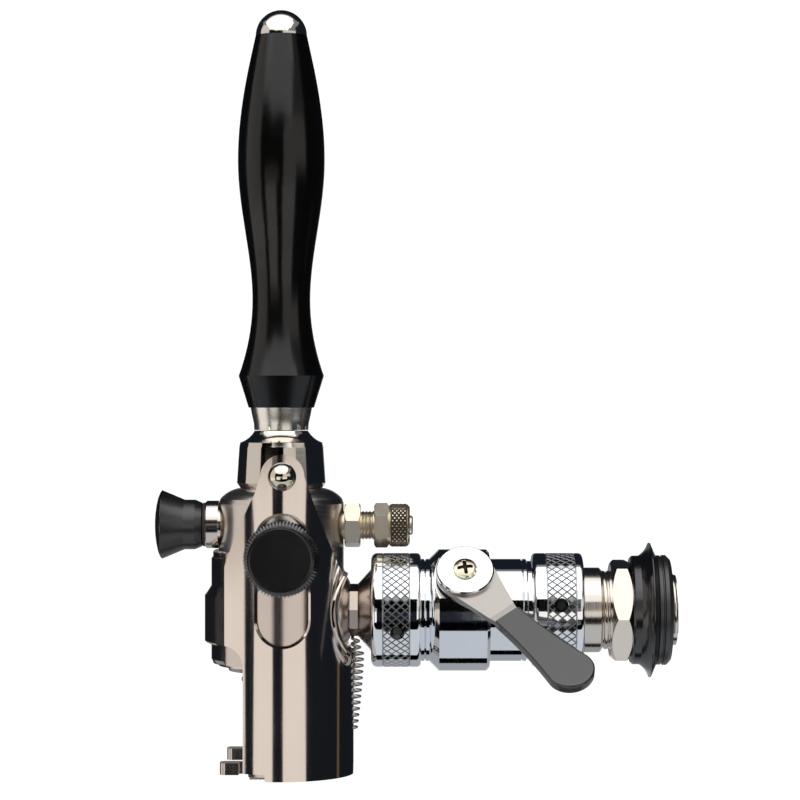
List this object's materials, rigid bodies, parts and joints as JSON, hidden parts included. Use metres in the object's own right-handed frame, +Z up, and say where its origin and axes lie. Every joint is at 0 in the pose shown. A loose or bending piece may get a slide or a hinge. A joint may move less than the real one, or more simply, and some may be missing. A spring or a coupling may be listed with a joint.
{
  "type": "growler filler",
  "caption": "Bottle filling beer tap with a tall tilting handle, a guard shell round a sprung bottle carriage, a bleed knob, a gas port and a lever ball valve on its wall shank.",
  "frame": {"origin": "centre of the shank at the wall, where the rear washer's face meets the wall", "axes": "+X along the shank into the wall, +Z up along the tap handle, so the user stands at -X and the valve lever is on the -Y side"},
  "size_m": [0.1571, 0.0771, 0.2305],
  "materials": {
    "bonnet_steel": "polished",
    "body_steel": "polished",
    "guard_steel": "polished",
    "carriage_steel": "satin",
    "pad_steel": "ribbed",
    "pin_steel": "polished",
    "union_chrome": "polished, knurled",
    "valve_chrome": "polished",
    "ball_chrome": "polished",
    "seat_plastic": "smooth",
    "seal_rubber": "matt",
    "lever_steel": "satin",
    "screw_brass": "nickelled",
    "grip_vinyl": "dipped vinyl",
    "tail_steel": "turned",
    "shank_steel": "turned",
    "nut_brass": "nickelled",
    "flange_rubber": "smooth",
    "washer_plastic": "satin",
    "handle_gloss": "high gloss",
    "handle_chrome": "polished",
    "inner_steel": "turned",
    "knob_black": "satin",
    "stud_steel": "turned",
    "spring_steel": "drawn wire",
    "gas_brass": "nickelled",
    "bleed_steel": "turned",
    "gasket_red": "matt fibre"
  },
  "bodies": {
    "tap_body": {"main_body": "body_steel", "bonnet": "bonnet_steel", "bonnet_gasket": "seal_rubber", "guard_shell": "guard_steel", "hinge_pin": "pin_steel", "ear_spacers": "pin_steel", "dome_nuts": "pin_steel", "seal_holder": "inner_steel", "bottle_seal": "seal_rubber", "fill_spout": "inner_steel", "gas_nipple": "gas_brass", "gas_stub": "gas_brass", "bleed_bushing": "bleed_steel", "bleed_gasket": "gasket_red", "tail_piece": "tail_steel", "union_washer_front": "seal_rubber", "valve_body": "valve_chrome", "valve_seats": "seat_plastic", "valve_sleeve": "valve_chrome", "union_washer_rear": "seal_rubber", "shank": "shank_steel", "shank_lock_nut": "nut_brass", "wall_flange": "flange_rubber", "wall_washer": "washer_plastic", "return_spring": "spring_steel"},
    "tap_handle": {"handle_lever": "inner_steel", "handle_ferrule": "handle_chrome", "handle_grip": "handle_gloss", "handle_tip": "handle_chrome"},
    "spool": {"valve_spool": "inner_steel", "spool_rings": "seal_rubber"},
    "carriage": {"carriage": "carriage_steel", "neck_fork": "carriage_steel", "jaw_pads": "pad_steel", "clamp_stud": "stud_steel", "clamp_washer": "stud_steel", "spring_pin": "inner_steel"},
    "clamp_knob": {"clamp_knob": "knob_black"},
    "shutoff": {"valve_ball": "ball_chrome", "valve_stem": "ball_chrome", "valve_stem_ring": "seal_rubber", "valve_lever": "lever_steel", "lever_grip": "grip_vinyl", "lever_cap": "lever_steel", "lever_screw": "screw_brass"},
    "front_union_nut": {"union_nut_front": "union_chrome"},
    "rear_union_nut": {"union_nut_rear": "union_chrome"},
    "gas_nut": {"gas_nut": "gas_brass"},
    "bleed_slide": {"bleed_ring": "seal_rubber"},
    "bleed_valve": {"bleed_needle": "inner_steel", "bleed_knob": "knob_black"}
  },
  "joints": [
    {"name": "handle_tilt", "type": "hinge", "parent": "tap_body", "child": "tap_handle", "pos_m": [-0.1161, 0, 0.0409], "axis": [0, 1, 0], "range_deg": [-12, 8]},
    {"name": "spool_travel", "type": "slide", "parent": "tap_body", "child": "spool", "axis": [1, 0, 0], "range_m": [-0.0056, 0.0082]},
    {"name": "carriage_slide", "type": "slide", "parent": "tap_body", "child": "carriage", "axis": [0, 0, 1], "range_m": [-0.0185, 0], "stiffness_N_per_m": 1500, "springref_m": 0.006, "deforming": ["return_spring"]},
    {"name": "clamp_knob_turn", "type": "hinge", "parent": "carriage", "child": "clamp_knob", "pos_m": [-0.1161, -0.029, 0.0169], "axis": [0, -1, 0], "range_deg": [0, 270]},
    {"name": "shutoff_turn", "type": "hinge", "parent": "tap_body", "child": "shutoff", "pos_m": [-0.0621, 0, 0], "axis": [0, -0.7815, 0.6239], "range_deg": [-37.4, 52.6]},
    {"name": "front_union_spin", "type": "hinge", "parent": "tap_body", "child": "front_union_nut", "pos_m": [-0.082, 0, 0], "axis": [1, 0, 0], "continuous": true},
    {"name": "rear_union_spin", "type": "hinge", "parent": "tap_body", "child": "rear_union_nut", "pos_m": [-0.034, 0, 0], "axis": [1, 0, 0], "continuous": true},
    {"name": "gas_nut_spin", "type": "hinge", "parent": "tap_body", "child": "gas_nut", "pos_m": [-0.084, 0, 0.0256], "axis": [1, 0, 0], "continuous": true},
    {"name": "bleed_valve_lift", "type": "slide", "parent": "tap_body", "child": "bleed_slide", "axis": [-1, 0, 0], "range_m": [0, 0.002]},
    {"name": "bleed_valve_turn", "type": "hinge", "parent": "bleed_slide", "child": "bleed_valve", "pos_m": [-0.1473, 0, 0.02585], "axis": [-1, 0, 0], "range_deg": [0, 738]}
  ],
  "couplings": [
    {"joint": "spool_travel", "follows": "handle_tilt", "m_per_rad": -0.038},
    {"joint": "bleed_valve_turn", "follows": "bleed_valve_lift", "rad_per_m": 6283.2}
  ]
}
